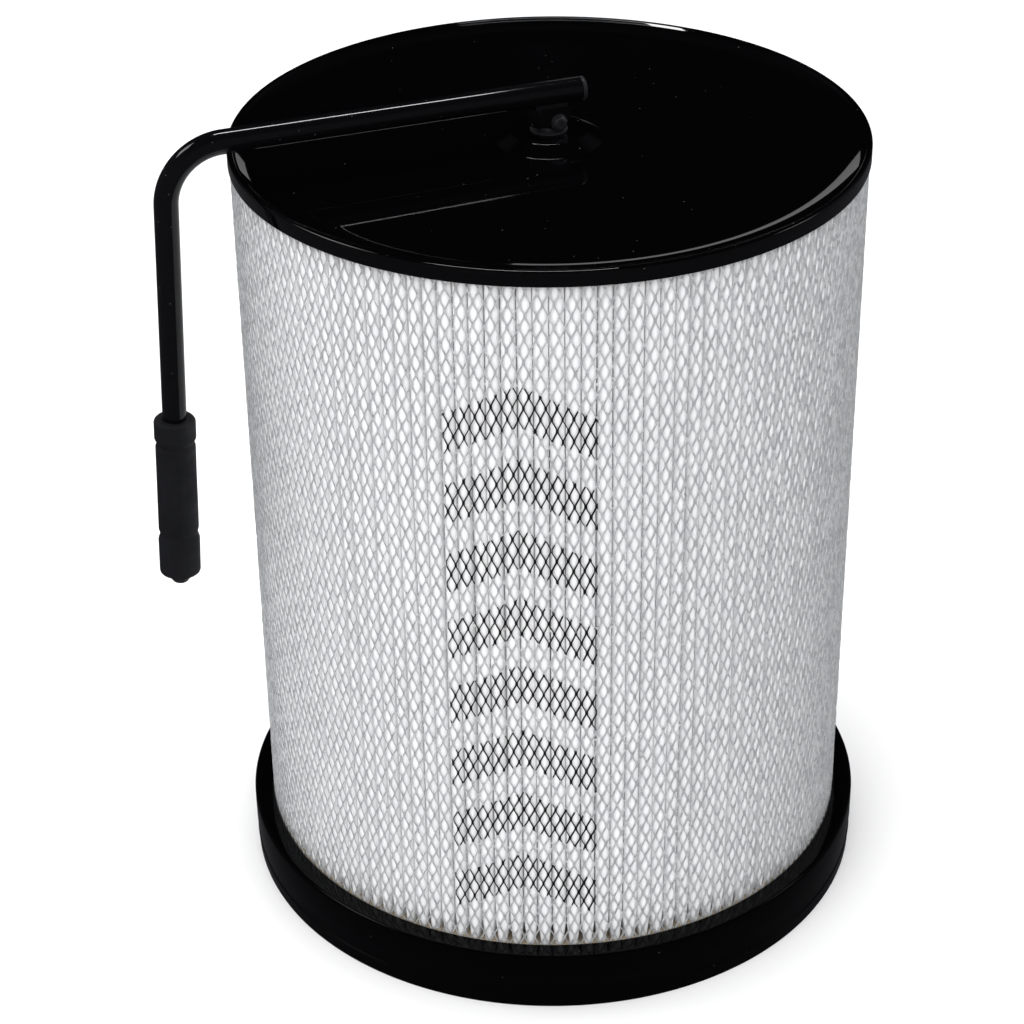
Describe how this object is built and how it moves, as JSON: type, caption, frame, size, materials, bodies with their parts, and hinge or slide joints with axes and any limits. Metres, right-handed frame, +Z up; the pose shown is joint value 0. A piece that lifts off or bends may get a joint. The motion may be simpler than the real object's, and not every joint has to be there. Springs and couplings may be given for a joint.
{
  "type": "dust collector canister filter",
  "caption": "Upright pleated canister filter with an expanded-metal sleeve, black base collar and lid, and a cranked handle that turns a paddle cleaner inside.",
  "frame": {"origin": "centre of the base collar's lower rim, on the canister's axis", "axes": "+Z up the canister's axis; the crank points along -X at rest and its pivot bolt's head faces -Y"},
  "size_m": [0.604, 0.5334, 0.7039],
  "materials": {
    "black_enamel": "gloss",
    "black_tube": "gloss",
    "rubber_seal": "matte",
    "zinc_steel": "satin",
    "dark_fastener": "satin",
    "shaft_steel": "satin",
    "bush_bronze": "satin",
    "potting_resin": "satin",
    "filter_paper": "matte",
    "galvanised_mesh": "satin",
    "wiper_rubber": "matte",
    "foam_grip": "matte",
    "black_plastic": "satin"
  },
  "bodies": {
    "canister": {"base_collar": "black_enamel", "base_seal": "rubber_seal", "crossbar": "zinc_steel", "crossbar_bolts": "zinc_steel", "crossbar_nuts": "zinc_steel", "lower_housing": "zinc_steel", "housing_bolts": "zinc_steel", "housing_nuts": "zinc_steel", "lower_bush": "bush_bronze", "bottom_potting": "potting_resin", "pleated_media": "filter_paper", "spacer_beads": "potting_resin", "outer_screen": "galvanised_mesh", "top_potting": "potting_resin", "lid": "black_enamel", "hub_plate": "zinc_steel", "upper_bush": "black_plastic", "bush_washer": "zinc_steel", "bush_nut": "zinc_steel"},
    "agitator": {"agitator_shaft": "shaft_steel", "retaining_ring": "zinc_steel", "shaft_collar": "zinc_steel", "collar_screw": "zinc_steel", "lower_paddle_arm": "zinc_steel", "upper_paddle_arm": "zinc_steel", "hub_screws": "zinc_steel", "arm_bolts": "zinc_steel", "blade_screws": "zinc_steel", "paddle_bar_left": "zinc_steel", "paddle_bar_right": "zinc_steel", "wiper_blade_left": "wiper_rubber", "wiper_blade_right": "wiper_rubber", "clamp_strip_left": "zinc_steel", "clamp_strip_right": "zinc_steel"},
    "crank": {"crank_arm": "black_tube", "tube_plug": "black_plastic", "hand_grip": "foam_grip", "grip_cap": "black_plastic", "crank_bracket": "black_tube", "pivot_bolt": "dark_fastener", "pivot_washers": "dark_fastener", "pivot_nut": "zinc_steel"}
  },
  "joints": [
    {"name": "crank_turn", "type": "hinge", "parent": "canister", "child": "agitator", "pos_m": [0, 0, 0.6], "axis": [0, 0, 1], "continuous": true},
    {"name": "arm_lift", "type": "hinge", "parent": "agitator", "child": "crank", "pos_m": [0.005, 0, 0.6733], "axis": [0, 1, 0], "range_deg": [0, 43]}
  ]
}
